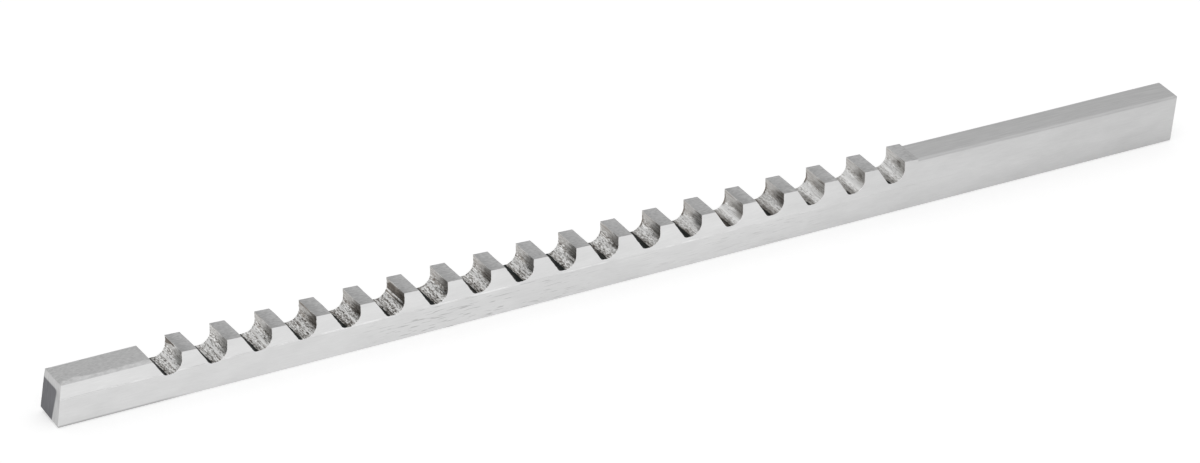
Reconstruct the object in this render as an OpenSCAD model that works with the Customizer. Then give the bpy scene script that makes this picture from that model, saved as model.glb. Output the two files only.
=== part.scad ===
// Push-type keyway broach for an eighth-inch keyway, ground from one bar of high-speed steel.
// X runs from the pilot to the press end, and Z from the flat back up to the cutting edges.
// The origin is at the middle of the back. Sizes are in millimetres and angles in degrees.

/* [Bar] */
// Overall length, from the nose of the pilot to the press end
length = 127; // [115:0.5:160]
// Width of the teeth, which is the width of the keyway they cut
tooth_w = 3.175; // [2.8:0.005:4.8]
// Width of the ledge where each side steps out from the teeth to the wider body
ledge_w = 0.02; // [0.005:0.005:0.1]
// Height of the ledge above the back at the nose
ledge_h = 3.03; // [2:0.01:3.6]
// Fall of the ledge from the nose to the press end
ledge_fall = 0.5; // [0:0.05:1]
// Broken edge on each side of the back
back_edge = 0.1; // [0.02:0.01:0.5]
// Width of the broken edges along the top of the pilot and the shank
top_edge_w = 0.34; // [0.05:0.01:0.8]
// Height of those broken edges
top_edge_h = 0.2; // [0.05:0.01:0.4]

/* [Pilot] */
// Height of the pilot above the back
pilot_h = 4.74; // [4.4:0.01:6]
// Lean of the nose, back from square
nose_lean = 2; // [0:0.5:6]
// Depth of the shallow bevels ground by hand on the nose
nose_bevel_depth = 0.06; // [0.02:0.01:0.3]
// Height of the bevel at the top of the nose
nose_top_bevel = 0.85; // [0.4:0.05:1.4]
// Width of the bevel at the near side of the nose
nose_side_bevel = 0.95; // [0.2:0.05:1.4]
// Chamfer at the bottom of the nose
nose_chamfer = 0.15; // [0.05:0.05:0.6]

/* [Teeth] */
// Number of teeth
tooth_count = 18; // [4:1:20]
// Distance from one cutting edge to the next
pitch = 4.755; // [4.5:0.005:5.4]
// Distance from the nose to the first cutting edge
first_edge = 12.56; // [8:0.02:20]
// Height of the first cutting edge above the pilot
first_step = 0.16; // [0.02:0.01:0.4]
// Height that each tooth gains on the tooth before it
tooth_rise = 0.0375; // [0:0.0005:0.08]
// Length of the land behind a cutting edge
land = 1.6; // [0.8:0.05:1.8]
// Fall of the land away from the cutting edge
relief_angle = 2.5; // [0:0.5:6]
// Undercut of the cutting face
hook_angle = 7; // [0:0.5:15]
// Slope of the back of a tooth
back_angle = 53; // [50:1:65]
// Depth of a gullet below the cutting edge that follows it
gullet_depth = 2.12; // [1.4:0.02:2.3]
// Radius where the gullet's floor rises into the cutting face
gullet_r = 1.1; // [0.6:0.05:1.3]
// Radius where the back of a tooth runs into the gullet's floor
heel_r = 0.5; // [0.2:0.05:0.8]

/* [Shank] */
// Drop from the last cutting edge to the front of the shank
shank_drop = 0.17; // [0.1:0.01:0.6]
// Length of the ramp from the last land down to the shank
shank_ramp = 0.25; // [0.1:0.05:2]
// Fall of the shank's top towards the press end
shank_fall = 0.26; // [0:0.01:0.6]
// Chamfer round the press end
press_chamfer = 0.18; // [0.04:0.02:0.6]

/* [Hidden] */
$fn = 96;

// Room that a cutter takes past the surface it cuts
clear = 1;
// How far inside a radius the flat that runs into it lies, so that the two surfaces cross
lap = 0.002;

// Cutting edges, counted from 0 at the pilot
function edge_x(k) = first_edge + k * pitch;
function edge_h(k) = pilot_h + first_step + k * tooth_rise;

// Height of the ledge along the bar
function ledge_at(x) = ledge_h - ledge_fall * x / length;

last = tooth_count - 1;
bar_w = tooth_w + 2 * ledge_w;
land_drop = land * tan(relief_angle);
land_end_x = edge_x(last) + land;
shank_x = land_end_x + shank_ramp;
shank_h = edge_h(last) - shank_drop;
press_h = shank_h - shank_fall;
shank_slope = atan(shank_fall / (length - shank_x));
top_h = edge_h(last) + clear;

// Gullet in front of a cutting edge, with that edge at [0, 0]: the back of the land before it, the centres
// of the two radii in its floor, where the cutting face and the back of that tooth reach them, and where
// those two flats leave the bar at the top
land_back = [land - pitch, -tooth_rise - land_drop];
face_top = [-clear * tan(hook_angle), clear];
back_top = [land_back[0] - (clear - land_back[1]) / tan(back_angle), clear];
face_reach = gullet_r - lap;
floor_mid = [
    ((gullet_depth - gullet_r) * sin(hook_angle) - face_reach) / cos(hook_angle),
    gullet_r - gullet_depth
];
face_foot = floor_mid + face_reach * [cos(hook_angle), sin(hook_angle)];
heel_reach = heel_r - lap;
heel_h = heel_r - gullet_depth;
heel_mid = [
    land_back[0] + (heel_reach - (heel_h - land_back[1]) * cos(back_angle)) / sin(back_angle),
    heel_h
];
heel_foot = heel_mid - heel_reach * [sin(back_angle), cos(back_angle)];

// Bar seen from the side, with each land run on over the gullets before and after it
module side_view() {
    nose_top_x = pilot_h * tan(nose_lean) + nose_bevel_depth;
    run_on = (pitch - land) / 4;
    lands = [
        for (k = [0 : last], x = [-run_on, land + (k < last ? run_on : 0)])
            [edge_x(k) + x, edge_h(k) - x * tan(relief_angle)]
    ];
    polygon(concat(
        [
            [nose_chamfer, 0],
            [0, nose_chamfer],
            [0, pilot_h - top_edge_h - nose_top_x * top_edge_h / top_edge_w],
            [nose_top_x + top_edge_w, pilot_h],
            [edge_x(0) + land_back[0] + run_on, pilot_h]
        ],
        lands,
        [
            [shank_x, shank_h],
            [length - press_chamfer, press_h],
            [length, press_h - press_chamfer],
            [length, press_chamfer],
            [length - press_chamfer, 0]
        ]
    ));
}

// Bar seen from above
module plan_view() {
    half = bar_w / 2;
    polygon([
        [-clear, half],
        [-clear, -half],
        [length - press_chamfer, -half],
        [length, press_chamfer - half],
        [length, half - press_chamfer],
        [length - press_chamfer, half]
    ]);
}

// Bar seen from its end
module end_view() {
    half = bar_w / 2;
    polygon([
        [2 * back_edge - half, -back_edge],
        [half - 2 * back_edge, -back_edge],
        [half, back_edge],
        [half, top_h],
        [-half, top_h],
        [-half, back_edge]
    ]);
}

// Blank with the outline of all three views
module blank() {
    intersection() {
        rotate([90, 0, 0]) linear_extrude(bar_w + clear, center = true) side_view();
        linear_extrude(2 * top_h, center = true) plan_view();
        rotate([90, 0, 90]) linear_extrude(2 * length + clear, center = true) end_view();
    }
}

// Cutter that thins both sides above the ledge to the width of the teeth
module ledges() {
    for (side = [0, 1]) mirror([0, side, 0]) translate([0, tooth_w / 2 + clear, 0])
        rotate([90, 0, 0]) linear_extrude(clear) polygon([
            [-clear, ledge_at(-clear)],
            [length + clear, ledge_at(length + clear)],
            [length + clear, top_h],
            [-clear, top_h]
        ]);
}

// Cutter for the face of the nose, which leans back and is bevelled along its top and its near side
module nose() {
    half = bar_w / 2;
    rotate([0, nose_lean, 0]) {
        linear_extrude(2 * top_h, center = true) polygon([
            [-clear, half + clear],
            [0, half + clear],
            [0, nose_side_bevel - half],
            [2 * nose_bevel_depth, -half - nose_side_bevel],
            [-clear, -half - nose_side_bevel]
        ]);
        rotate([90, 0, 0]) linear_extrude(bar_w + clear, center = true) polygon([
            [0, pilot_h - nose_top_bevel],
            [2 * nose_bevel_depth, pilot_h + nose_top_bevel],
            [-clear, pilot_h + nose_top_bevel],
            [-clear, pilot_h - nose_top_bevel]
        ]);
    }
}

// Cutter for the gullet in front of a cutting edge at the origin
module gullet() {
    rotate([90, 0, 0]) {
        linear_extrude(bar_w + clear, center = true) polygon([
            face_top,
            back_top,
            heel_foot,
            heel_mid,
            [heel_mid[0], lap - gullet_depth],
            [floor_mid[0], lap - gullet_depth],
            floor_mid,
            face_foot
        ]);
        translate(heel_mid) cylinder(h = bar_w + clear, r = heel_r, center = true);
        translate(floor_mid) cylinder(h = bar_w + clear, r = gullet_r, center = true);
    }
}

// Cutter for both broken edges along a top face that starts at the origin
module top_edges(l) {
    for (side = [0, 1]) mirror([0, side, 0]) translate([0, tooth_w / 2, 0])
        rotate([90, 0, 90]) linear_extrude(l) polygon([
            [-2 * top_edge_w, top_edge_h],
            [top_edge_w, -2 * top_edge_h],
            [top_edge_w, top_edge_h]
        ]);
}

module broach() {
    color("silver") translate([-length / 2, 0, 0]) difference() {
        blank();
        ledges();
        nose();
        for (k = [0 : last]) translate([edge_x(k), 0, edge_h(k)]) gullet();
        translate([-clear, 0, pilot_h]) top_edges(first_edge + clear);
        translate([land_end_x, 0, shank_h]) rotate([0, shank_slope, 0]) top_edges(length - land_end_x + clear);
    }
}

broach();
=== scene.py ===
import math

import bpy
import numpy as np
from mathutils import Matrix, Vector


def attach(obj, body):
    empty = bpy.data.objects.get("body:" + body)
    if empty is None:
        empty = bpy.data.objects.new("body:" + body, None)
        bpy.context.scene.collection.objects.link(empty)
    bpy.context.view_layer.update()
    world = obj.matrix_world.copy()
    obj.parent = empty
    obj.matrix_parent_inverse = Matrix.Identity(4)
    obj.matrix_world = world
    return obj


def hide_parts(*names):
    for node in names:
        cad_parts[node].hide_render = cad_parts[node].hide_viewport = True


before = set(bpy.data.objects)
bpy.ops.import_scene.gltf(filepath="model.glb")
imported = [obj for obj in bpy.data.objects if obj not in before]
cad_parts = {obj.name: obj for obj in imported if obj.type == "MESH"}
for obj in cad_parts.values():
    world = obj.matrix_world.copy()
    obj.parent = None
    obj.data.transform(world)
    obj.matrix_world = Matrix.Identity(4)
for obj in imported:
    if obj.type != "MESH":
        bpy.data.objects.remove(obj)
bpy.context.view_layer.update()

# Sizes of the broach in millimetres, the same as those of the solid it stands for.
LENGTH = 127.0
TOOTH_W = 3.175
LEDGE_W = 0.02
LEDGE_H = 3.03
LEDGE_FALL = 0.5
BACK_EDGE = 0.1
TOP_EDGE_W = 0.34
TOP_EDGE_H = 0.2
PILOT_H = 4.74
NOSE_LEAN = math.radians(2)
NOSE_BEVEL_DEPTH = 0.06
NOSE_TOP_BEVEL = 0.85
NOSE_SIDE_BEVEL = 0.95
NOSE_CHAMFER = 0.15
TEETH = 18
PITCH = 4.755
FIRST_EDGE = 12.56
FIRST_STEP = 0.16
TOOTH_RISE = 0.0375
LAND = 1.6
RELIEF = math.radians(2.5)
HOOK = math.radians(7)
BACK_ANGLE = math.radians(53)
GULLET_DEPTH = 2.12
GULLET_R = 1.1
HEEL_R = 0.5
SHANK_DROP = 0.17
SHANK_RAMP = 0.25
SHANK_FALL = 0.26
PRESS_CHAMFER = 0.18

LAND_END = FIRST_EDGE + (TEETH - 1) * PITCH + LAND
SHANK_X = LAND_END + SHANK_RAMP
SHANK_H = PILOT_H + FIRST_STEP + (TEETH - 1) * TOOTH_RISE - SHANK_DROP
LEDGE_SLOPE = LEDGE_FALL / LENGTH

# Handwork and wear that the solid doesn't have, in millimetres. Places along the bar count from the nose.
# The nose stands upright at its near side and leans at its far side. Behind it, the twist fades out.
TWIST_FULL = 0.5
TWIST_END = 3
# Its foot chamfer is this much higher at the far side. The face above NOSE_PLAIN stays as it is.
NOSE_CHAMFER_SKEW = 0.37
NOSE_PLAIN = 1.5
# Over this stretch the ledge fades to a tenth of its width.
LEDGE_FADES = 74
LEDGE_FADED = 90
# Width of the round along the shank's far edge, at its widest and at the press end, and where it narrows.
FAR_ROUND_WIDEST = 0.62
FAR_ROUND_W = 0.46
FAR_ROUND_NARROWS = 108
FAR_ROUND_ENDS = 126
# Height of the milling ridges in the gullets, and width and depth of the softened side edges of the teeth.
RIDGE_H = 0.011
SOFT_EDGE_W = 0.02
SOFT_EDGE_DEPTH = 0.012
# Depth of the hollow worn under the first cutting edge.
HOLLOW_DEPTH = 0.06

# Teeth with marks of their own, counted from 0 at the nose.
FIRST, FOURTH, SIXTH, FOURTEENTH, SEVENTEENTH, EIGHTEENTH = 0, 3, 5, 13, 16, 17
# Places in a gullet, in millimetres from its cutting edge: where the painted heel shade starts in the first
# eight and in the others, the painted highlight line in the round, and the painted pale line under the
# sixth tooth's dark band.
EARLY_HEEL = 3.04
LATER_HEEL = 2.62
ROUND_LINE = 1.95
BAND_STEP = 1.24

# How much painted shade and dark reflection each heel gets and how much residue and painted dark reflection
# each cutting face gets, from the nose on.
HEEL_PAINTED_SHADE = (1, 0.95, 0.72, 0.75, 0.7, 0.85, 1, 1, 1, 0.78, 0.42, 0.95, 0.82, 0.36, 0.4, 0.1, 0.15, 0.3)
FACE_RESIDUE_AND_REFLECTION = (0, 0.1, 0.4, 0.8, 0.8, 0.8, 0.55, 0.7, 0.4, 0.45, 0.25, 0.4, 0.2, 0.1, 0.5, 0, 0.2, 0)
# How far the painted shade of each of the first eight comes out of the heel, in millimetres.
PAINTED_SHADE_REACH = (0, 0, 0.1, 0.08, 0.1, 0.03, 0.16, 0.1)
# How much painted highlight each cutting face gets at its near end and each round all over, and how much
# painted shade each floor gets against its round.
FACE_HIGHLIGHT = (0.8, 0.4, 0.2, 0.2, 0.2, 0.1, 0.2, 0.2, 0.6, 0.65, 0.6, 0.6, 1.1, 1.0, 0.5, 0.8, 0.2, 0.8)
ROUND_HIGHLIGHT = (0.9, 0.9, 0.9, 0.1, 0.65, 0.1, 0.5, 0.55, 0.8, 0.9, 0.9, 0.9, 1, 1.3, 0.7, 1.3, 1.3, 1.2)
FLOOR_PAINTED_SHADE = (
    0.1, -0.1, -0.1, -0.3, 0.5, -0.1, 0.1, 0.3, 0.9, 0.85, 0.65, 0.9, 0.9, 0.8, 1.0, 0.65, 0.65, 0.75,
)
# How much duller each land is at its cutting edge than at its back.
LAND_DIMMING = (1.1, 0.7, 0.9, 1.2, 0.8, 0.8, 0.7, 0.8, 0.4, 0.7, 0.5, 0.6, 0.4, 1.5, 0.8, 0.7, 0.5, -0.4)

# Finishes of the bar, each a material slot of the piece.
SIDES, LANDS, SHANK, GULLETS, NOSE, LEDGE, PILOT = range(7)


def straight(start, end, spacing):
    """Points from start up to, but not at, end."""
    start = np.array(start, float)
    end = np.array(end, float)
    count = max(1, math.ceil(np.linalg.norm(end - start) / spacing))
    return start + (end - start) * (np.arange(count) / count)[:, None]


def round_arc(centre, radius, start, end, spacing):
    """Points along an arc, up to but not at its end."""
    count = max(1, math.ceil(abs(end - start) * radius / spacing))
    angles = start + (end - start) * np.arange(count) / count
    return np.array(centre) + radius * np.stack([np.cos(angles), np.sin(angles)], 1)


def bar_outline():
    """The bar seen from its near side: points up the nose, along the top, down the press end and back."""
    points = []
    finishes = []
    teeth = []

    def lay(run, finish, tooth=-1):
        points.append(run)
        finishes.append(np.full(len(run), finish))
        teeth.append(np.full(len(run), tooth))

    # Nose: a small chamfer, the leaning face, its shallow top bevel and the broken edge above it.
    lean = math.tan(NOSE_LEAN)
    bevel_z = PILOT_H - NOSE_TOP_BEVEL
    top_z = PILOT_H - TOP_EDGE_H
    top_x = top_z * lean + NOSE_BEVEL_DEPTH * (top_z - bevel_z) / NOSE_TOP_BEVEL
    foot = (NOSE_CHAMFER * lean, NOSE_CHAMFER)
    lay(straight((NOSE_CHAMFER, 0), foot, 0.08), NOSE)
    lay(straight(foot, (bevel_z * lean, bevel_z), 0.12), NOSE)
    lay(straight((bevel_z * lean, bevel_z), (top_x, top_z), 0.12), NOSE)
    lay(straight((top_x, top_z), (top_x + TOP_EDGE_W, PILOT_H), 0.06), PILOT)

    # Gullet in front of a cutting edge at (0, 0).
    land_back = np.array([LAND - PITCH, -TOOTH_RISE - LAND * math.tan(RELIEF)])
    floor_mid = np.array([
        ((GULLET_DEPTH - GULLET_R) * math.sin(HOOK) - GULLET_R) / math.cos(HOOK),
        GULLET_R - GULLET_DEPTH,
    ])
    heel_h = HEEL_R - GULLET_DEPTH
    heel_run = (HEEL_R - (heel_h - land_back[1]) * math.cos(BACK_ANGLE)) / math.sin(BACK_ANGLE)
    heel_mid = np.array([land_back[0] + heel_run, heel_h])
    heel_foot = heel_mid - HEEL_R * np.array([math.sin(BACK_ANGLE), math.cos(BACK_ANGLE)])
    face_foot = floor_mid + GULLET_R * np.array([math.cos(HOOK), math.sin(HOOK)])
    heel_floor = np.array([heel_mid[0], -GULLET_DEPTH])
    face_floor = np.array([floor_mid[0], -GULLET_DEPTH])
    heel_start = math.atan2(heel_foot[1] - heel_mid[1], heel_foot[0] - heel_mid[0])

    # The pilot's top ends where the back of the first gullet comes up through it.
    edge = np.array([FIRST_EDGE, PILOT_H + FIRST_STEP])
    rise = edge[1] + land_back[1] - PILOT_H
    before = np.array([edge[0] + land_back[0] + rise / math.tan(BACK_ANGLE), PILOT_H])
    lay(straight((top_x + TOP_EDGE_W, PILOT_H), before, 0.12), PILOT)
    for tooth in range(TEETH):
        edge = np.array([FIRST_EDGE + tooth * PITCH, PILOT_H + FIRST_STEP + tooth * TOOTH_RISE])
        lay(straight(before, edge + heel_foot, 0.09), GULLETS, tooth)
        lay(edge + round_arc(heel_mid, HEEL_R, heel_start, -math.pi / 2, 0.07), GULLETS, tooth)
        lay(straight(edge + heel_floor, edge + face_floor, 0.08), GULLETS, tooth)
        lay(edge + round_arc(floor_mid, GULLET_R, -math.pi / 2, HOOK, 0.08), GULLETS, tooth)
        lay(straight(edge + face_foot, edge, 0.08), GULLETS, tooth)
        before = edge + np.array([LAND, -LAND * math.tan(RELIEF)])
        lay(straight(edge, before, 0.16), LANDS, tooth)

    # Shank, press end and back.
    press_h = SHANK_H - SHANK_FALL
    lay(straight(before, (SHANK_X, SHANK_H), 0.08), SHANK)
    lay(straight((SHANK_X, SHANK_H), (LENGTH - PRESS_CHAMFER, press_h), 0.5), SHANK)
    lay(straight((LENGTH - PRESS_CHAMFER, press_h), (LENGTH, press_h - PRESS_CHAMFER), 0.09), SHANK)
    lay(straight((LENGTH, press_h - PRESS_CHAMFER), (LENGTH, PRESS_CHAMFER), 0.3), SHANK)
    lay(straight((LENGTH, PRESS_CHAMFER), (LENGTH - PRESS_CHAMFER, 0), 0.09), SHANK)
    lay(straight((LENGTH - PRESS_CHAMFER, 0), (NOSE_CHAMFER, 0), 4.0), SIDES)
    return np.vstack(points), np.concatenate(finishes), np.concatenate(teeth)


def ledge_height(x):
    """Height at which the sides step out from the teeth to the wider body."""
    return LEDGE_H - LEDGE_SLOPE * x


def split_at_ledge(points, finishes, teeth):
    """Adds two points, one for each width, wherever the outline crosses the ledge."""
    above = points[:, 1] > ledge_height(points[:, 0])
    rows = []
    for i in range(len(points)):
        rows.append((points[i], finishes[i], teeth[i], above[i]))
        after = (i + 1) % len(points)
        if above[i] != above[after]:
            gap = points[:, 1] - ledge_height(points[:, 0])
            share = gap[i] / (gap[i] - gap[after])
            crossing = points[i] + share * (points[after] - points[i])
            rows.append((crossing, finishes[i], teeth[i], above[i]))
            rows.append((crossing, finishes[i], teeth[i], above[after]))
    return (
        np.array([r[0] for r in rows]),
        np.array([r[1] for r in rows]),
        np.array([r[2] for r in rows]),
        np.array([r[3] for r in rows]),
    )


def fade(value, none, full):
    """Rises smoothly from 0 where the value is none to 1 where it is full."""
    share = np.clip((value - none) / (full - none), 0, 1)
    return share * share * (3 - 2 * share)


def smooth_noise(shape, blur, seed):
    """Random numbers of about unit spread, smoothed over blur steps along each axis."""
    grid = np.random.default_rng(seed).standard_normal(shape)
    for axis, width in enumerate(blur):
        if width > 0:
            reach = int(3 * width) + 1
            weights = np.exp(-0.5 * (np.arange(-reach, reach + 1) / width) ** 2)
            weights /= weights.sum()
            grid = np.apply_along_axis(lambda v: np.convolve(v, weights, mode="same"), axis, grid)
    return grid / grid.std()


def outward_from(points):
    """Unit vectors that point out of the bar, one at each point of its outline."""
    tiny = 1e-9
    before = points - np.roll(points, 1, 0)
    after = np.roll(points, -1, 0) - points
    along = before / (np.linalg.norm(before, axis=1)[:, None] + tiny)
    along = along + after / (np.linalg.norm(after, axis=1)[:, None] + tiny)
    along /= np.linalg.norm(along, axis=1)[:, None] + tiny
    return np.stack([-along[:, 1], along[:, 0]], 1)


def place_in_gullet(points, finishes):
    """Millimetres from each cutting edge back along its gullet, and 0 outside the gullets."""
    steps = np.linalg.norm(np.roll(points, -1, 0) - points, axis=1)
    place = np.zeros(len(points))
    for i in range(len(points) - 1, -1, -1):
        if finishes[i] == GULLETS:
            place[i] = place[i + 1] + steps[i]
    return place


def break_top_edges(x, y, z, side):
    """Lowers the long top edges: filed flat by hand on the pilot, and rounded on a belt on the shank."""
    count = len(x)
    # The width of the pilot's near edge wanders.
    wander = 1 + 0.16 * smooth_noise((count,), (2.5,), 5)[:, None]
    wander = wander + 0.1 * smooth_noise((count,), (0.7,), 6)[:, None]
    wander = np.where(y < 0, wander, 1)
    filed = np.clip(1 - side / (TOP_EDGE_W * wander), 0, 1)
    # The filing ends in the first gullet.
    pilot = x < FIRST_EDGE - 0.6
    z = np.where(pilot, np.minimum(z, PILOT_H - TOP_EDGE_H * filed), z)
    # The round along the shank's far edge is wider than the near one.
    far_w = FAR_ROUND_W + (FAR_ROUND_WIDEST - FAR_ROUND_W) * fade(x, FAR_ROUND_ENDS, FAR_ROUND_NARROWS)
    round_w = np.where(y < 0, TOP_EDGE_W, far_w)
    run = np.clip(1 - side / round_w, 0, 1)
    rounded = round_w * TOP_EDGE_H / TOP_EDGE_W * (1 - np.sqrt(1 - run ** 2))
    shank_top = SHANK_H - SHANK_FALL * (x - SHANK_X) / (LENGTH - SHANK_X)
    return np.where(x > LAND_END, np.minimum(z, shank_top - rounded), z)


def grind_nose(x, z, height, from_near, across, on_nose):
    """Twists the nose, skews its foot chamfer and bevels its near side; height is that of the outline."""
    lean = math.tan(NOSE_LEAN)
    x = x - z * lean * (1 - across) * fade(x, TWIST_END, TWIST_FULL)
    chamfer = NOSE_CHAMFER + NOSE_CHAMFER_SKEW * across
    stretch = (NOSE_PLAIN - chamfer) / (NOSE_PLAIN - NOSE_CHAMFER)
    lifted = np.where(
        height < NOSE_CHAMFER,
        height * chamfer / NOSE_CHAMFER,
        chamfer + (height - NOSE_CHAMFER) * stretch,
    )
    foot = on_nose & (height < NOSE_PLAIN)
    z = np.where(foot, lifted, z)
    x = np.where(foot, z * lean * across + np.clip(chamfer - z, 0, None), x)
    bevel = np.clip(1 - from_near / NOSE_SIDE_BEVEL, 0, 1) * NOSE_BEVEL_DEPTH * z / PILOT_H
    x = np.maximum(x, np.maximum(z * lean * across + bevel, NOSE_CHAMFER * lean))
    return x, z


def worn_hollow(down, y, own):
    """Hollow that use wore under the first cutting edge at its far end, from 0 to 1 at its deepest."""
    bottom = 0.3 + 0.45 * fade(y, 0.2, 1.5)
    hollow = fade(down, 0.08, 0.18) * fade(down, bottom + 0.08, bottom - 0.05) * fade(y, -0.5, 0.1)
    return hollow * (own == FIRST)


def painted_dark_band(down, y, own):
    """Painted dark reflection: a band on the sixth cutting face that ends in a round corner short of the
    far side.
    """
    end = 0.85 + 0.6 * fade(down, 0.1, 0.7)
    band = fade(down, 0.1, 0.22) * fade(down, 1.16, 1.08) * fade(y, end + 0.1, end - 0.1)
    return band * (own == SIXTH)


def painted_gullet_shade(down, y, own, hollow, band):
    """Painted shade and dark reflection in the gullets from the heel on, further out in the ninth and later
    ones: the heel lies in shade and mirrors the dark back of the tooth before.
    """
    reach = np.array(PAINTED_SHADE_REACH)[np.minimum(own, len(PAINTED_SHADE_REACH) - 1)]
    later = LATER_HEEL + 0.06 * np.clip(own - 11, 0, None)
    heel = np.where(own < len(PAINTED_SHADE_REACH), EARLY_HEEL - reach, later)
    thin = np.where(own < 2, 0.2, 0.3) * fade(down, 2.5, 2.9)
    painted_shade = np.maximum(fade(down, heel, heel + 0.16), thin)
    # It thins out up the back of the tooth before, and towards the far side.
    painted_shade = painted_shade * (0.15 + 0.85 * fade(down, 4.5, 3.9))
    painted_shade = painted_shade * np.array(HEEL_PAINTED_SHADE)[own] * (0.75 + 0.25 * fade(y, 1.2, -0.6))
    # Painted shade in the hollow under the first cutting edge.
    painted_shade = np.maximum(painted_shade, (0.3 + 0.35 * fade(down, 0.5, 0.3)) * hollow)
    # The last three get the most painted shade in the corner at their near end.
    corner = fade(down, 2.95, 3.2) * fade(down, 4.2, 3.6) * fade(y, -0.6, -1.25)
    painted_shade = np.maximum(painted_shade, 0.9 * corner * (own > 14))
    # Painted dark reflection on the sixth tooth's band.
    return np.maximum(painted_shade, 0.6 * band * fade(y, -0.6, 0.6))


def face_residue_and_painted_reflection(down, y, own, hollow, band):
    """Residue on the cutting faces together with painted dark reflection of the heel, most on the near end,
    that leaves the edges clean.
    """
    limit = 0.4 * down - 0.25
    residue_and_painted_reflection = fade(y, limit + 0.7, limit - 0.8) * (0.8 + 0.2 * fade(down, 0.3, 1.0))
    residue_and_painted_reflection = residue_and_painted_reflection * fade(down, 0.02, 0.4) * np.array(FACE_RESIDUE_AND_REFLECTION)[own]
    # A thin darkening, part film and part painted reflection, lies on every face: more on all but the first
    # and last few, and most on five of them.
    film_and_painted_reflection = 0.1 + 0.25 * fade(own, 1, 3) * fade(own, 17, 15) + 0.08 * np.isin(own, (3, 4, 5, 6, 14))
    residue_and_painted_reflection = np.maximum(residue_and_painted_reflection, film_and_painted_reflection) * fade(down, 1.5, 1.25)
    # The far ends of the twelfth to sixteenth are dark; the band is painted dark reflection and the hollow
    # painted shade.
    far_end = 1.2 * fade(y, 1.2, 1.5) * fade(down, 0.3, 0.7) * fade(down, 1.9, 1.5)
    residue_and_painted_reflection = np.maximum(residue_and_painted_reflection, far_end * ((own > 10) & (own < 16)))
    residue_and_painted_reflection = np.maximum(residue_and_painted_reflection, np.maximum(1.7 * band, 1.5 * hollow))
    residue_and_painted_reflection = residue_and_painted_reflection * (1 - 0.9 * (own == SIXTH) * fade(np.abs(down - BAND_STEP), 0.1, 0.03))
    # A dark line runs under the fourth cutting edge and one under the sixth's band.
    for tooth, line_down, reach in ((FOURTH, 0.16, 0.15), (SIXTH, 1.38, 0.11)):
        dark_line = fade(np.abs(down - line_down), reach, reach / 3)
        residue_and_painted_reflection = np.maximum(residue_and_painted_reflection, 0.85 * dark_line * (own == tooth))
    # The last two have a dark spot each.
    spots = ((SEVENTEENTH, -0.85, 0.78, 0.5), (EIGHTEENTH, -0.6, 0.72, 0.56))
    for tooth, spot_y, spot_down, radius in spots:
        spot = fade(np.hypot(y - spot_y, down - spot_down), radius, 0.3 * radius)
        residue_and_painted_reflection = np.maximum(residue_and_painted_reflection, 0.75 * spot * (own == tooth))
    return residue_and_painted_reflection


def painted_gullet_highlight(down, y, own):
    """Painted highlight in the gullets: rounds all over, faces at their near end and some lines, less
    painted shade on the floors.
    """
    painted_highlight = fade(down, 1.15, 1.55) * fade(down, 2.75, 2.4) * np.array(ROUND_HIGHLIGHT)[own]
    painted_highlight = painted_highlight - fade(down, 2.0, 2.25) * np.array(FLOOR_PAINTED_SHADE)[own]
    painted_highlight = painted_highlight + fade(down, 1.7, 1.2) * fade(y, 0.4, -0.8) * np.array(FACE_HIGHLIGHT)[own]
    # The first gullets have a painted highlight line beside a painted dull one, and two later ones a
    # painted highlight line alone.
    from_line = down - ROUND_LINE + 0.04 * y
    line = 1.6 * fade(np.abs(from_line), 0.15, 0.03) - fade(np.abs(from_line - 0.2), 0.15, 0.03)
    pale_line = fade(np.abs(down - BAND_STEP), 0.1, 0.03) * (own == SIXTH)
    painted_highlight = painted_highlight + line * fade(own, 9, 5) + 0.8 * pale_line
    lone = fade(np.abs(down - ROUND_LINE), 0.22, 0.04)
    painted_highlight = painted_highlight + lone * (0.8 * (own == FOURTEENTH) + 2.0 * (own == SEVENTEENTH))
    # The last three get painted highlight in the heel, and the first at the foot of its face.
    painted_highlight = painted_highlight + 0.6 * fade(down, 2.5, 2.8) * (own > 14)
    return painted_highlight + 0.7 * fade(np.abs(down - 1.1), 0.4, 0.15) * fade(y, 0.3, -0.6) * (own == FIRST)


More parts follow.
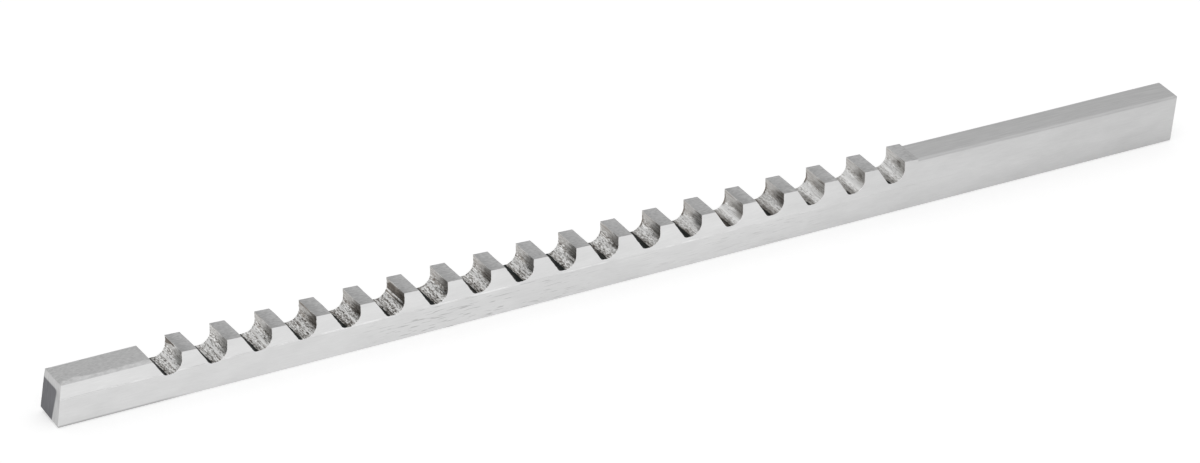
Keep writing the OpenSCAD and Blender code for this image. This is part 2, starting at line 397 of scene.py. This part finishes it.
def build_bar():
    """The whole bar as one mesh: a sheet wrapped round the outline, and the two ground sides."""
    points, finishes, teeth, above = split_at_ledge(*bar_outline())
    count = len(points)
    outward = outward_from(points)

    # Rows across the width, by their distance in from the nearer side.
    inset = np.array([0, 0.02, 0.06, 0.11, 0.17, 0.23, 0.29, 0.34, 0.42])
    inner = np.linspace(0.42, TOOTH_W / 2, 10)[1:]
    inset = np.concatenate([inset, inner])
    ledge_w = LEDGE_W * (1 - 0.9 * fade(points[:, 0], LEDGE_FADES, LEDGE_FADED))
    half = (TOOTH_W / 2 + LEDGE_W - np.where(above, ledge_w, 0))[:, None]
    near = inset[None, :] - half
    y = np.concatenate([near, -near[:, -2::-1]], 1)
    side = np.concatenate([inset, inset[-2::-1]])[None, :]
    rows = side.shape[1]
    x = np.repeat(points[:, :1], rows, 1)
    z = np.repeat(points[:, 1:], rows, 1)

    # Gullets are milled across the bar and left rough: ridges run along the cut. The last ones are finer.
    # The side edges of the teeth are only just broken.
    in_gullet = finishes == GULLETS
    cut = 0.4 + 0.7 * fade(teeth, 13, 9)
    ridges = smooth_noise((count, rows), (0.7, 5.0), 11) * RIDGE_H
    raised = ridges * (in_gullet * cut)[:, None] - np.clip(1 - side / SOFT_EDGE_W, 0, 1) * SOFT_EDGE_DEPTH
    x += outward[:, :1] * raised
    z += outward[:, 1:] * raised

    z = break_top_edges(x, y, z, side)
    from_near = y + half
    on_nose = (finishes == NOSE)[:, None]
    x, z = grind_nose(x, z, points[:, 1:], from_near, from_near / (2 * half), on_nose)
    # The long edges of the back are broken, and the press end is chamfered all round.
    z = np.maximum(z, np.clip(BACK_EDGE - side, 0, None))
    x = np.minimum(x, LENGTH - np.clip(PRESS_CHAMFER - side, 0, None))

    down = place_in_gullet(points, finishes)[:, None]
    own = np.where(in_gullet, teeth, FIRST)[:, None]
    hollow = worn_hollow(down, y, own)
    band = painted_dark_band(down, y, own)
    x += HOLLOW_DEPTH * hollow

    # Lands are duller towards the cutting edge, and a little towards the near side.
    behind = (points[:, 0] - FIRST_EDGE - teeth * PITCH)[:, None] / LAND
    land_tone = 0.05 + 0.3 * np.array(LAND_DIMMING)[teeth][:, None] * (behind - 0.72) + 0.036 * y
    # The heel shade in these looks is painted shade and dark reflection, the face darkening partly painted
    # dark reflection, and the gullet brightening painted highlight.
    looks = {
        "painted_shade": painted_gullet_shade(down, y, own, hollow, band),
        "residue_and_painted_reflection": face_residue_and_painted_reflection(down, y, own, hollow, band),
        "painted_highlight": painted_gullet_highlight(down, y, own),
        "coarse": cut[:, None] * (0.25 + 0.75 * fade(down, 0.5, 1.2)),
        "land_tone": np.where((finishes == LANDS)[:, None], land_tone, 0),
    }

    vertices = np.stack([x - LENGTH / 2, y, z], 2).reshape(-1, 3) / 1000
    index = np.arange(count * rows).reshape(count, rows)
    faces = []
    slots = []
    for i in range(count):
        follow = (i + 1) % count
        for j in range(rows - 1):
            faces.append((index[i, j], index[follow, j], index[follow, j + 1], index[i, j + 1]))
            slots.append(finishes[i])

    # The sides: one face below the ledge, one for each stretch above it, and the ledge between them.
    change = np.flatnonzero(above != np.roll(above, 1))
    start = change[above[change]]
    stop = change[~above[change]]
    below = np.flatnonzero(~above)
    for row, turn in ((0, -1), (rows - 1, 1)):
        faces.append(tuple(index[below, row][::turn]))
        slots.append(SIDES)
        for first_point, end_point in zip(start, stop):
            upper = index[first_point:end_point, row]
            faces.append(tuple(upper[::turn]))
            ledge = (upper[0], upper[-1], index[end_point, row], index[first_point - 1, row])
            faces.append(ledge[::turn])
            slots += [SIDES, LEDGE]

    mesh = bpy.data.meshes.new("broach_bar")
    mesh.from_pydata(vertices.tolist(), [], [tuple(int(v) for v in f) for f in faces])
    mesh.polygons.foreach_set("material_index", [int(s) for s in slots])
    for name, values in looks.items():
        attribute = mesh.attributes.new(name, "FLOAT", "POINT")
        attribute.data.foreach_set("value", np.broadcast_to(values, x.shape).ravel().astype(np.float32))
    mesh.shade_smooth()
    mesh.set_sharp_from_angle(angle=math.radians(24))
    bar = bpy.data.objects.new("broach_bar", mesh)
    bpy.context.scene.collection.objects.link(bar)
    return bar


def linear(hex_colour):
    """An sRGB hex colour as the linear colour that Blender's sockets take."""
    values = [int(hex_colour[i:i + 2], 16) / 255 for i in (1, 3, 5)]
    return [v / 12.92 if v <= 0.04045 else ((v + 0.055) / 1.055) ** 2.4 for v in values] + [1.0]


def add(tree, kind, inputs=None, **settings):
    """Adds a node with its settings; an input is a plain value or the socket that feeds it."""
    made = tree.nodes.new("ShaderNode" + kind)
    for name, value in settings.items():
        setattr(made, name, value)
    for name, value in (inputs or {}).items():
        if isinstance(value, bpy.types.NodeSocket):
            tree.links.new(value, made.inputs[name])
        else:
            made.inputs[name].default_value = value
    return made


def new_material(name):
    """An empty material with its node tree and its output node."""
    material = bpy.data.materials.new(name)
    material.use_nodes = True
    tree = material.node_tree
    tree.nodes.clear()
    return material, tree, tree.nodes.new("ShaderNodeOutputMaterial")


def surface_ground_steel():
    """The sides: high-speed steel ground along the bar to a bright satin, brighter above the ledge. It has
    faint clouds, fine lengthwise lines and some small dark scratches from before grinding, a painted
    highlight beside the ledge, and painted shade along the pilot's foot and on the lower half towards the
    press end."""
    material, tree, output = new_material("surface_ground_steel")
    place = add(tree, "TexCoord").outputs["Object"]
    axes = add(tree, "SeparateXYZ", {0: place})
    # Clouds 4 mm long and 1.3 mm high.
    stretched = add(tree, "Mapping", {"Vector": place, "Scale": (250, 770, 770)})
    clouds = add(tree, "TexNoise", {"Vector": stretched.outputs[0], "Scale": 1.0, "Detail": 2.0})
    # Grinding lines 0.15 mm apart. The real ones are ten times finer.
    drawn = add(tree, "Mapping", {"Vector": place, "Scale": (900, 6700, 6700)})
    grain = add(tree, "TexNoise", {"Vector": drawn.outputs[0], "Scale": 1.0, "Detail": 3.0})
    # Scratches 1.6 mm long and 0.12 mm wide, below the ledge. They are strong on one stretch before the
    # middle and weaker after it: each stop is a share of the length and a strength.
    dashes = add(tree, "Mapping", {"Vector": place, "Scale": (620, 8300, 8300)})
    scratch = add(tree, "TexNoise", {"Vector": dashes.outputs[0], "Scale": 1.0, "Detail": 1.0})
    share = add(tree, "MapRange", {
        "Value": axes.outputs["X"], "From Min": -LENGTH / 2000, "From Max": LENGTH / 2000,
    })
    spread = add(tree, "ValToRGB", {"Fac": share.outputs[0]})
    stops = spread.color_ramp.elements
    stops[0].color = (0, 0, 0, 1)
    stops[1].color = (0, 0, 0, 1)
    stops[1].position = 0.7
    for position, strength in ((0.24, 0.0), (0.29, 1.0), (0.41, 1.0), (0.46, 0.2), (0.62, 0.4)):
        stops.new(position).color = (strength, strength, strength, 1)
    bitten = add(tree, "MapRange", {"Value": scratch.outputs[0], "From Min": 0.62, "From Max": 0.7})
    spaced = add(tree, "Math", {0: bitten.outputs[0], 1: spread.outputs[0]}, operation="MULTIPLY")
    body = add(tree, "MapRange", {
        "Value": axes.outputs["Z"], "From Min": 0.0027, "From Max": 0.0029, "To Min": 1.0, "To Max": 0.0,
    })
    scored = add(tree, "Math", {0: spaced.outputs[0], 1: body.outputs[0]}, operation="MULTIPLY")
    # Height over the ledge, in metres, and the stretch on which the two bands differ.
    ledge = add(tree, "Math", {
        0: axes.outputs["X"], 1: LEDGE_SLOPE, 2: (LEDGE_SLOPE * LENGTH / 2 - LEDGE_H) / 1000,
    }, operation="MULTIPLY_ADD")
    over = add(tree, "Math", {0: axes.outputs["Z"], 1: ledge.outputs[0]}, operation="ADD")
    upper = add(tree, "MapRange", {"Value": over.outputs[0], "From Min": -0.00012, "From Max": 0.00003})
    front = add(tree, "MapRange", {
        "Value": axes.outputs["X"], "From Min": 0.012, "From Max": 0.03, "To Min": 1.0, "To Max": 0.0,
    })
    band = add(tree, "Math", {0: upper.outputs[0], 1: front.outputs[0]}, operation="MULTIPLY")
    # Beside the ledge a painted highlight runs along the sides, in dashes 3 mm long.
    apart = add(tree, "Math", {0: over.outputs[0]}, operation="ABSOLUTE")
    beside = add(tree, "MapRange", {
        "Value": apart.outputs[0], "From Min": 0.00004, "From Max": 0.0001, "To Min": 1.0, "To Max": 0.0,
    })
    long_dashes = add(tree, "Mapping", {"Vector": place, "Scale": (330, 330, 330)})
    patches = add(tree, "TexNoise", {"Vector": long_dashes.outputs[0], "Scale": 1.0, "Detail": 3.0})
    ledge_highlight_dashes = add(tree, "MapRange", {"Value": patches.outputs[0], "From Min": 0.4, "From Max": 0.6})
    line = add(tree, "Math", {0: beside.outputs[0], 1: front.outputs[0]}, operation="MULTIPLY")
    ledge_highlight = add(tree, "Math", {0: line.outputs[0], 1: ledge_highlight_dashes.outputs[0]}, operation="MULTIPLY")
    # A painted dark line along the foot of the pilot: the floor's contact shadow as the side mirrors it.
    low = add(tree, "MapRange", {
        "Value": axes.outputs["Z"], "From Min": 0.00014, "From Max": 0.0003, "To Min": 1.0, "To Max": 0.0,
    })
    pilot = add(tree, "MapRange", {
        "Value": axes.outputs["X"], "From Min": -0.053, "From Max": -0.049, "To Min": 1.0, "To Max": 0.0,
    })
    foot = add(tree, "Math", {0: low.outputs[0], 1: pilot.outputs[0]}, operation="MULTIPLY")
    # Painted shade: the lower half darkens towards the press end, as the side mirrors the floor's contact
    # shadow.
    lower = add(tree, "MapRange", {
        "Value": axes.outputs["Z"], "From Min": 0.0, "From Max": 0.0026, "To Min": 1.0, "To Max": 0.0,
    })
    shank = add(tree, "MapRange", {"Value": axes.outputs["X"], "From Min": -0.02, "From Max": 0.045})
    dull = add(tree, "Math", {0: lower.outputs[0], 1: shank.outputs[0]}, operation="MULTIPLY")
    tone = 0.456
    # Of these layers, the ledge highlight is painted highlight, and the foot line and the darker lower half
    # are painted shade.
    for amount, mask in (
        (0.24, clouds), (0.176, grain), (0.096, band), (0.2, ledge_highlight),
        (-0.48, scored), (-0.6, foot), (-0.16, dull),
    ):
        layer = add(tree, "Math", {0: mask.outputs[0], 1: amount, 2: tone}, operation="MULTIPLY_ADD")
        tone = layer.outputs[0]
    colour = add(tree, "ValToRGB", {"Fac": tone})
    colour.color_ramp.elements[0].color = linear("#A6A6A6")
    colour.color_ramp.elements[1].color = linear("#F6F6F6")
    colour.color_ramp.elements.new(0.8).color = linear("#DFDFDF")
    rough = add(tree, "MapRange", {"Value": grain.outputs[0], "To Min": 0.26, "To Max": 0.38})
    bump = add(tree, "Bump", {"Height": grain.outputs[0], "Strength": 0.06, "Distance": 0.00002})
    steel = add(tree, "BsdfPrincipled", {
        "Base Color": colour.outputs[0],
        "Metallic": 1.0,
        "Roughness": rough.outputs[0],
        "Normal": bump.outputs[0],
    })
    tree.links.new(steel.outputs[0], output.inputs["Surface"])
    return material


def ground_land_steel(name, dark, light, line_length):
    """A top ground to satin grey, with fine lines of a length in millimetres along the bar. Lands are
    lighter or darker from place to place."""
    material, tree, output = new_material(name)
    place = add(tree, "TexCoord").outputs["Object"]
    # Grinding lines 0.14 mm apart. The real ones are ten times finer.
    drawn = add(tree, "Mapping", {"Vector": place, "Scale": (1000 / line_length, 7000, 2500)})
    grain = add(tree, "TexNoise", {"Vector": drawn.outputs[0], "Scale": 1.0, "Detail": 4.0})
    rough = add(tree, "MapRange", {"Value": grain.outputs[0], "To Min": 0.26, "To Max": 0.36})
    land_tone = add(tree, "Attribute", attribute_name="land_tone").outputs["Fac"]
    tone = add(tree, "Math", {0: grain.outputs[0], 1: land_tone}, operation="ADD")
    colour = add(tree, "ValToRGB", {"Fac": tone.outputs[0]})
    colour.color_ramp.elements[0].color = linear(dark)
    colour.color_ramp.elements[0].position = 0.3
    colour.color_ramp.elements[1].color = linear(light)
    colour.color_ramp.elements[1].position = 0.7
    bump = add(tree, "Bump", {"Height": grain.outputs[0], "Strength": 0.06, "Distance": 0.00002})
    steel = add(tree, "BsdfPrincipled", {
        "Base Color": colour.outputs[0],
        "Metallic": 1.0,
        "Roughness": rough.outputs[0],
        "Normal": bump.outputs[0],
    })
    tree.links.new(steel.outputs[0], output.inputs["Surface"])
    return material


def milled_gullet_steel():
    """The gullets, milled across the bar before it was hardened: rough, pitted and streaked along the cut,
    with painted shade and dark reflection in the heel and painted highlight on the rounds. Residue and
    painted dark reflection darken the near end of each cutting face."""
    material, tree, output = new_material("milled_gullet_steel")
    place = add(tree, "TexCoord").outputs["Object"]
    # The mesh carries the painted heel shade, the residue with painted dark reflection and the painted
    # gullet highlight.
    painted_shade = add(tree, "Attribute", attribute_name="painted_shade").outputs["Fac"]
    residue_and_painted_reflection = add(tree, "Attribute", attribute_name="residue_and_painted_reflection").outputs["Fac"]
    painted_highlight = add(tree, "Attribute", attribute_name="painted_highlight").outputs["Fac"]
    coarse = add(tree, "Attribute", attribute_name="coarse").outputs["Fac"]
    # Cutter marks 0.15 mm apart and 2 mm long.
    cuts = add(tree, "Mapping", {"Vector": place, "Scale": (6700, 500, 6700)})
    streaks = add(tree, "TexNoise", {"Vector": cuts.outputs[0], "Scale": 1.0, "Detail": 3.0}).outputs[0]
    # Grit 0.11 mm wide and 0.33 mm long, and a few pocks 0.22 mm wide and 0.29 mm long.
    specks = add(tree, "Mapping", {"Vector": place, "Scale": (9000, 3000, 9000)})
    pits = add(tree, "TexNoise", {"Vector": specks.outputs[0], "Scale": 1.0, "Detail": 3.0}).outputs[0]
    blots = add(tree, "Mapping", {"Vector": place, "Scale": (4500, 3500, 4500)})
    holes = add(tree, "TexNoise", {"Vector": blots.outputs[0], "Scale": 1.0, "Detail": 2.0}).outputs[0]
    deep = add(tree, "MapRange", {"Value": holes, "From Min": 0.6, "From Max": 0.68})
    pocks = add(tree, "Math", {0: deep.outputs[0], 1: coarse}, operation="MULTIPLY").outputs[0]
    grit = add(tree, "MapRange", {
        "Value": pits, "From Min": 0.36, "From Max": 0.64, "To Min": -1.0, "To Max": 1.0,
    })
    pitted = add(tree, "Math", {0: grit.outputs[0], 1: coarse}, operation="MULTIPLY").outputs[0]
    # The edges of the painted heel shade and of the residue with painted reflection follow the cutter
    # marks.
    marks = add(tree, "MapRange", {
        "Value": streaks, "From Min": 0.2, "From Max": 0.8, "To Min": -0.5, "To Max": 0.5,
    })
    painted_shade_edge = add(tree, "Math", {0: marks.outputs[0], 1: 0.35, 2: painted_shade}, operation="MULTIPLY_ADD")
    heel = add(tree, "MapRange", {
        "Value": painted_shade_edge.outputs[0], "From Min": 0.25, "From Max": 0.6,
    }).outputs[0]
    residue_and_reflection_edge = add(tree, "Math", {0: marks.outputs[0], 1: 1.6, 2: residue_and_painted_reflection}, operation="MULTIPLY_ADD")
    stain_and_dark_reflection = add(tree, "MapRange", {
        "Value": residue_and_reflection_edge.outputs[0], "From Min": 0.15, "From Max": 0.9, "To Max": 0.92,
    }).outputs[0]
    tone = 0.26
    # The tone takes painted highlight from the gullet brightening and painted shade from the heel mask.
    for amount, mask in ((0.85, streaks), (-0.36, pitted), (-0.3, pocks), (0.25, painted_highlight), (-1.2, heel)):
        tone = add(tree, "Math", {0: mask, 1: amount, 2: tone}, operation="MULTIPLY_ADD").outputs[0]
    colour = add(tree, "ValToRGB", {"Fac": tone})
    colour.color_ramp.elements[0].color = linear("#222828")
    colour.color_ramp.elements[1].color = linear("#F8F8F7")
    colour.color_ramp.elements.new(0.3).color = linear("#67605A")
    colour.color_ramp.elements.new(0.7).color = linear("#C6C5C3")
    # The brown is the dark heel's reflection painted into the faces, mixed in where they darken.
    darker = add(tree, "Math", {0: heel, 1: -0.4, 2: streaks}, operation="MULTIPLY_ADD")
    brown = add(tree, "ValToRGB", {"Fac": darker.outputs[0]})
    brown.color_ramp.elements[0].position = 0.3
    brown.color_ramp.elements[0].color = linear("#595149")
    brown.color_ramp.elements[1].position = 0.7
    brown.color_ramp.elements[1].color = linear("#7F776F")
    darkened_colour = add(tree, "Mix", {0: stain_and_dark_reflection, 6: colour.outputs[0], 7: brown.outputs[0]}, data_type="RGBA")
    rise = add(tree, "Math", {0: pits, 1: -0.4, 2: streaks}, operation="MULTIPLY_ADD")
    bump = add(tree, "Bump", {"Height": rise.outputs[0], "Strength": 0.4, "Distance": 0.00005})
    steel = add(tree, "BsdfPrincipled", {
        "Base Color": darkened_colour.outputs[2],
        "Metallic": 1.0,
        "Roughness": 0.34,
        "Normal": bump.outputs[0],
    })
    tree.links.new(steel.outputs[0], output.inputs["Surface"])
    return material


def nose_steel_oxide_and_painted_reflection():
    """The nose: a dark skin, partly oxide from hardening and partly painted dark reflection of the room,
    ground away in a pale frame along the top and the near side.
    """
    material, tree, output = new_material("nose_steel_oxide_and_painted_reflection")
    place = add(tree, "TexCoord").outputs["Object"]
    axes = add(tree, "SeparateXYZ", {0: place})
    # The frame is 0.6 mm wide at the top of the near side and 1.2 mm at its foot, and 1 mm high at the top.
    slanted = add(tree, "Math", {
        0: axes.outputs["Z"], 1: 0.15, 2: axes.outputs["Y"],
    }, operation="MULTIPLY_ADD")
    inside = add(tree, "Math", {0: slanted.outputs[0], 1: 0.00043}, operation="ADD")
    under = add(tree, "Math", {0: 0.00375, 1: axes.outputs["Z"]}, operation="SUBTRACT")
    within = add(tree, "Math", {
        0: inside.outputs[0], 1: under.outputs[0], 2: 0.0006,
    }, operation="SMOOTH_MIN")
    skin = add(tree, "MapRange", {"Value": within.outputs[0], "From Min": -0.00008, "From Max": 0.00006})
    # Upright grinding lines 0.2 mm apart and 1.4 mm long.
    drawn = add(tree, "Mapping", {"Vector": place, "Scale": (5000, 5000, 700)})
    grain = add(tree, "TexNoise", {"Vector": drawn.outputs[0], "Scale": 1.0, "Detail": 3.0})
    high = add(tree, "MapRange", {"Value": axes.outputs["Z"], "From Min": 0.0033, "From Max": 0.0042})
    pale_top = add(tree, "Math", {
        0: high.outputs[0], 1: 0.3, 2: grain.outputs[0],
    }, operation="MULTIPLY_ADD")
    foot = add(tree, "MapRange", {
        "Value": axes.outputs["Z"], "From Min": 0.0005, "From Max": 0.0032, "To Min": 1.0, "To Max": 0.0,
    })
    pale = add(tree, "Math", {
        0: foot.outputs[0], 1: 0.35, 2: pale_top.outputs[0],
    }, operation="MULTIPLY_ADD")
    frame_tone = add(tree, "ValToRGB", {"Fac": pale.outputs[0]})
    frame_tone.color_ramp.elements[0].color = linear("#A0A0A0")
    frame_tone.color_ramp.elements[1].color = linear("#C8C8C8")
    # The dark skin colour is partly oxide and partly the painted reflection of the dark room the end face
    # mirrors.
    skin_tone = add(tree, "ValToRGB", {"Fac": grain.outputs[0]})
    skin_tone.color_ramp.elements[0].color = linear("#57575B")
    skin_tone.color_ramp.elements[1].color = linear("#737376")
    colour = add(tree, "Mix", {
        0: skin.outputs[0], 6: frame_tone.outputs[0], 7: skin_tone.outputs[0],
    }, data_type="RGBA")
    bump = add(tree, "Bump", {"Height": grain.outputs[0], "Strength": 0.1, "Distance": 0.00002})
    steel = add(tree, "BsdfPrincipled", {
        "Base Color": colour.outputs[2],
        "Metallic": 1.0,
        "Roughness": 0.4,
        "Normal": bump.outputs[0],
    })
    tree.links.new(steel.outputs[0], output.inputs["Surface"])
    return material


def ledge_steel_painted_highlight():
    """The ledge along each side: a bare matt edge whose near-white colour paints the highlight it catches,
    bright at the nose and a little duller at the shank.
    """
    material, tree, output = new_material("ledge_steel_painted_highlight")
    place = add(tree, "TexCoord").outputs["Object"]
    axes = add(tree, "SeparateXYZ", {0: place})
    along = add(tree, "MapRange", {"Value": axes.outputs["X"], "From Min": 0.0, "From Max": 0.04})
    # Dashes 2 mm long.
    dashes = add(tree, "Mapping", {"Vector": place, "Scale": (500, 500, 500)})
    ledge_highlight_breaks = add(tree, "TexNoise", {"Vector": dashes.outputs[0], "Scale": 1.0, "Detail": 2.0})
    # The painted highlight is broken into dashes and dims towards the shank.
    dull = add(tree, "Math", {0: ledge_highlight_breaks.outputs[0], 1: 0.8, 2: along.outputs[0]}, operation="MULTIPLY_ADD")
    colour = add(tree, "ValToRGB", {"Fac": dull.outputs[0]})
    colour.color_ramp.elements[0].position = 0.3
    colour.color_ramp.elements[0].color = linear("#FAFAFA")
    colour.color_ramp.elements[1].color = linear("#EAEAEA")
    steel = add(tree, "BsdfPrincipled", {
        "Base Color": colour.outputs[0],
        "Metallic": 1.0,
        "Roughness": 0.9,
    })
    tree.links.new(steel.outputs[0], output.inputs["Surface"])
    return material


bar = build_bar()
for finish in (
    surface_ground_steel(),
    ground_land_steel("ground_land_steel", "#B4B4B4", "#D4D4D4", 0.4),
    ground_land_steel("belt_ground_steel", "#C8C8C8", "#D6D6D6", 2.5),
    milled_gullet_steel(),
    nose_steel_oxide_and_painted_reflection(),
    ledge_steel_painted_highlight(),
    ground_land_steel("filed_pilot_steel", "#C4C4C4", "#DADADA", 0.4),
):
    bar.data.materials.append(finish)
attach(bar, "root")
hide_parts("broach")


def white_floor():
    """A wide matt white floor. Seen by the camera and in the steel it adds its own light, so that it is
    white, and in the steel that light falls off to the right."""
    mesh = bpy.data.meshes.new("floor")
    reach = 3.0
    corners = [(-reach, -reach, 0), (reach, -reach, 0), (reach, reach, 0), (-reach, reach, 0)]
    mesh.from_pydata(corners, [], [(0, 1, 2, 3)])
    floor = bpy.data.objects.new("floor", mesh)
    bpy.context.scene.collection.objects.link(floor)
    # It lies a hair below the back, so that the two don't share a plane.
    floor.location.z = -0.00002
    material, tree, output = new_material("matt_white_floor")
    paint = add(tree, "BsdfDiffuse", {"Color": linear("#D0D0D0")})
    path = add(tree, "LightPath")
    place = add(tree, "TexCoord").outputs["Object"]
    axes = add(tree, "SeparateXYZ", {0: place})
    fall = add(tree, "MapRange", {
        "Value": axes.outputs["X"], "From Min": 0.012, "From Max": 0.07, "To Min": 0.53, "To Max": 0.33,
    })
    seen = add(tree, "Math", {0: path.outputs["Is Camera Ray"], 1: 0.52}, operation="MULTIPLY")
    glow = add(tree, "Math", {
        0: path.outputs["Is Glossy Ray"], 1: fall.outputs[0], 2: seen.outputs[0],
    }, operation="MULTIPLY_ADD")
    light = add(tree, "Emission", {"Strength": glow.outputs[0]})
    both = add(tree, "AddShader", {0: paint.outputs[0], 1: light.outputs[0]})
    tree.links.new(both.outputs[0], output.inputs["Surface"])
    mesh.materials.append(material)


def softbox(name, toward, distance, size, power):
    """A square lamp in the given direction from the middle of the bar, facing it."""
    lamp = bpy.data.lights.new(name, "AREA")
    lamp.shape = "SQUARE"
    lamp.size = size
    lamp.energy = power
    holder = bpy.data.objects.new(name, lamp)
    bpy.context.scene.collection.objects.link(holder)
    direction = Vector(toward).normalized()
    holder.location = direction * distance
    holder.rotation_euler = direction.to_track_quat("Z", "Y").to_euler()


def studio():
    """An even grey room with a soft lamp overhead and one above the camera, which stands at the place
    that was solved from the photograph."""
    white_floor()
    world = bpy.data.worlds.new("grey_room")
    bpy.context.scene.world = world
    world.use_nodes = True
    backdrop = world.node_tree.nodes["Background"]
    backdrop.inputs["Color"].default_value = linear("#FFFFFF")
    backdrop.inputs["Strength"].default_value = 0.6
    softbox("ceiling", toward=(0.0, 0.0, 1.0), distance=0.5, size=1.0, power=0.8)
    softbox("front_softbox", toward=(-0.45, -0.5, 0.75), distance=0.8, size=0.9, power=1.0)

    camera = bpy.data.cameras.new("camera")
    camera.sensor_fit = "HORIZONTAL"
    camera.sensor_width = 36.0
    camera.lens = 201.47
    camera.clip_start = 0.01
    camera.clip_end = 20.0
    holder = bpy.data.objects.new("camera", camera)
    bpy.context.scene.collection.objects.link(holder)
    right = Vector((0.83275, -0.54506, 0.09721))
    up = Vector((0.21142, 0.47533, 0.85403))
    back = right.cross(up)
    turn = Matrix((right, up, back)).transposed().to_4x4()
    holder.matrix_world = Matrix.Translation((-0.328331, -0.437152, 0.328763)) @ turn
    bpy.context.scene.camera = holder
    bpy.context.scene.view_settings.view_transform = "Standard"


studio()
